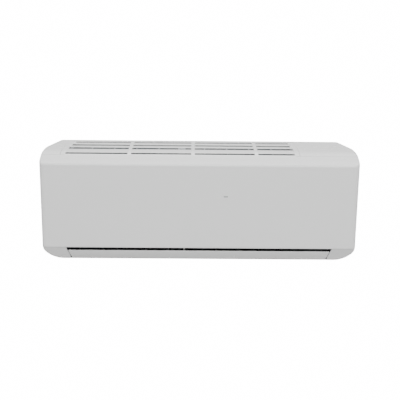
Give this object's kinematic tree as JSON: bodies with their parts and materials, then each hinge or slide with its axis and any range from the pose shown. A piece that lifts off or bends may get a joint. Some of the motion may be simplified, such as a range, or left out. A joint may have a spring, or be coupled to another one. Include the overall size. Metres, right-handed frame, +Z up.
{
  "type": "wall-hung mini split indoor unit",
  "caption": "Wide white wall-hung air conditioner indoor unit with a smooth rolled front panel, a top inlet grille, rounded ends and a louver flap under a dark outlet slot.",
  "frame": {"origin": "middle of the mounting plate's back face, on the wall plane, at the middle of the unit's width and height", "axes": "+X to the right seen from the room, +Y into the wall, +Z up; the front faces -Y"},
  "size_m": [0.805, 0.196, 0.29],
  "materials": {
    "casing_white": "gloss",
    "panel_white": "gloss",
    "flap_white": "gloss",
    "inner_plastic": "satin",
    "duct_plastic": "matt",
    "fan_plastic": "matt",
    "filter_frame": "satin",
    "filter_mesh": "woven",
    "fin_aluminium": "satin",
    "copper": "satin",
    "brass": "satin",
    "zinc_steel": "satin",
    "bright_steel": "satin",
    "motor_can": "satin",
    "black_rubber": "matt",
    "board_green": "satin",
    "component_black": "satin",
    "shaft_plastic": "satin",
    "window_grey": "gloss",
    "light_lens": "gloss"
  },
  "bodies": {
    "chassis": {"rear_chassis": "inner_plastic", "mounting_plate": "zinc_steel", "front_casing": "casing_white", "inlet_grille": "casing_white", "air_filter_left": "filter_frame", "air_filter_right": "filter_frame", "filter_meshes": "filter_mesh", "air_scroll": "duct_plastic", "outlet_duct": "duct_plastic", "drain_pan": "inner_plastic", "evaporator_rear": "fin_aluminium", "evaporator_front_upper": "fin_aluminium", "evaporator_front_lower": "fin_aluminium", "coil_plates": "zinc_steel", "return_bends": "copper", "liquid_pipe": "copper", "gas_pipe": "copper", "flare_nuts": "brass", "pipe_clamp": "inner_plastic", "bearing_housing": "inner_plastic", "rubber_bearing": "black_rubber", "fan_bush": "brass", "fan_motor": "motor_can", "motor_rings": "black_rubber", "motor_bracket": "zinc_steel", "louver_motor": "zinc_steel", "louver_support": "inner_plastic", "control_box": "inner_plastic", "control_box_lid": "zinc_steel", "main_board": "board_green", "board_parts": "component_black", "terminal_block": "component_black", "terminal_screws": "bright_steel", "switch_board": "board_green", "temperature_sensors": "component_black", "casing_screws": "bright_steel", "screw_caps": "casing_white"},
    "panel": {"front_panel": "panel_white", "receiver_window": "window_grey", "status_light": "light_lens", "display_board": "board_green"},
    "louver": {"louver_flap": "flap_white", "louver_motor_shaft": "shaft_plastic"},
    "fan": {"cross_flow_fan": "fan_plastic", "fan_stub_shaft": "bright_steel", "motor_shaft": "bright_steel", "motor_rotor": "bright_steel"},
    "vane_left_1": {"vane_left_1": "duct_plastic"},
    "vane_left_2": {"vane_left_2": "duct_plastic"},
    "vane_left_3": {"vane_left_3": "duct_plastic"},
    "vane_left_4": {"vane_left_4": "duct_plastic"},
    "vane_left_5": {"vane_left_5": "duct_plastic"},
    "vane_right_1": {"vane_right_1": "duct_plastic"},
    "vane_right_2": {"vane_right_2": "duct_plastic"},
    "vane_right_3": {"vane_right_3": "duct_plastic"},
    "vane_right_4": {"vane_right_4": "duct_plastic"},
    "vane_right_5": {"vane_right_5": "duct_plastic"},
    "tie_rod_left": {"tie_rod_left": "duct_plastic"},
    "tie_rod_right": {"tie_rod_right": "duct_plastic"},
    "push_button": {"push_button": "inner_plastic"}
  },
  "joints": [
    {"name": "panel_hinge", "type": "hinge", "parent": "chassis", "child": "panel", "pos_m": [0, -0.164, 0.1316], "axis": [-1, 0, 0], "range_deg": [0, 65]},
    {"name": "louver_hinge", "type": "hinge", "parent": "chassis", "child": "louver", "pos_m": [0, -0.152, -0.129], "axis": [1, 0, 0], "range_deg": [0, 85]},
    {"name": "fan_spin", "type": "hinge", "parent": "chassis", "child": "fan", "pos_m": [0, -0.086, -0.036], "axis": [1, 0, 0], "continuous": true},
    {"name": "vane_left_1_turn", "type": "hinge", "parent": "chassis", "child": "vane_left_1", "pos_m": [-0.312, -0.1075, -0.1246], "axis": [0, -0.5736, 0.8192], "range_deg": [-35, 35]},
    {"name": "vane_left_2_turn", "type": "hinge", "parent": "chassis", "child": "vane_left_2", "pos_m": [-0.254, -0.1075, -0.1246], "axis": [0, -0.5736, 0.8192], "range_deg": [-35, 35]},
    {"name": "vane_left_3_turn", "type": "hinge", "parent": "chassis", "child": "vane_left_3", "pos_m": [-0.196, -0.1075, -0.1246], "axis": [0, -0.5736, 0.8192], "range_deg": [-35, 35]},
    {"name": "vane_left_4_turn", "type": "hinge", "parent": "chassis", "child": "vane_left_4", "pos_m": [-0.138, -0.1075, -0.1246], "axis": [0, -0.5736, 0.8192], "range_deg": [-35, 35]},
    {"name": "vane_left_5_turn", "type": "hinge", "parent": "chassis", "child": "vane_left_5", "pos_m": [-0.08, -0.1075, -0.1246], "axis": [0, -0.5736, 0.8192], "range_deg": [-35, 35]},
    {"name": "tie_rod_left_turn", "type": "hinge", "parent": "vane_left_3", "child": "tie_rod_left", "pos_m": [-0.196, -0.10013, -0.11944], "axis": [0, -0.5736, 0.8192], "range_deg": [-35, 35]},
    {"name": "vane_right_1_turn", "type": "hinge", "parent": "chassis", "child": "vane_right_1", "pos_m": [-0.014, -0.1075, -0.1246], "axis": [0, -0.5736, 0.8192], "range_deg": [-35, 35]},
    {"name": "vane_right_2_turn", "type": "hinge", "parent": "chassis", "child": "vane_right_2", "pos_m": [0.044, -0.1075, -0.1246], "axis": [0, -0.5736, 0.8192], "range_deg": [-35, 35]},
    {"name": "vane_right_3_turn", "type": "hinge", "parent": "chassis", "child": "vane_right_3", "pos_m": [0.102, -0.1075, -0.1246], "axis": [0, -0.5736, 0.8192], "range_deg": [-35, 35]},
    {"name": "vane_right_4_turn", "type": "hinge", "parent": "chassis", "child": "vane_right_4", "pos_m": [0.16, -0.1075, -0.1246], "axis": [0, -0.5736, 0.8192], "range_deg": [-35, 35]},
    {"name": "vane_right_5_turn", "type": "hinge", "parent": "chassis", "child": "vane_right_5", "pos_m": [0.218, -0.1075, -0.1246], "axis": [0, -0.5736, 0.8192], "range_deg": [-35, 35]},
    {"name": "tie_rod_right_turn", "type": "hinge", "parent": "vane_right_3", "child": "tie_rod_right", "pos_m": [0.102, -0.10013, -0.11944], "axis": [0, -0.5736, 0.8192], "range_deg": [-35, 35]},
    {"name": "button_push", "type": "slide", "parent": "chassis", "child": "push_button", "axis": [0, 1, 0], "range_m": [0, 0.0015], "stiffness_N_per_m": 400}
  ],
  "couplings": [
    {"joint": "vane_left_1_turn", "follows": "vane_left_3_turn", "ratio": 1},
    {"joint": "vane_left_2_turn", "follows": "vane_left_3_turn", "ratio": 1},
    {"joint": "vane_left_4_turn", "follows": "vane_left_3_turn", "ratio": 1},
    {"joint": "vane_left_5_turn", "follows": "vane_left_3_turn", "ratio": 1},
    {"joint": "tie_rod_left_turn", "follows": "vane_left_3_turn", "ratio": -1},
    {"joint": "vane_right_1_turn", "follows": "vane_right_3_turn", "ratio": 1},
    {"joint": "vane_right_2_turn", "follows": "vane_right_3_turn", "ratio": 1},
    {"joint": "vane_right_4_turn", "follows": "vane_right_3_turn", "ratio": 1},
    {"joint": "vane_right_5_turn", "follows": "vane_right_3_turn", "ratio": 1},
    {"joint": "tie_rod_right_turn", "follows": "vane_right_3_turn", "ratio": -1}
  ]
}
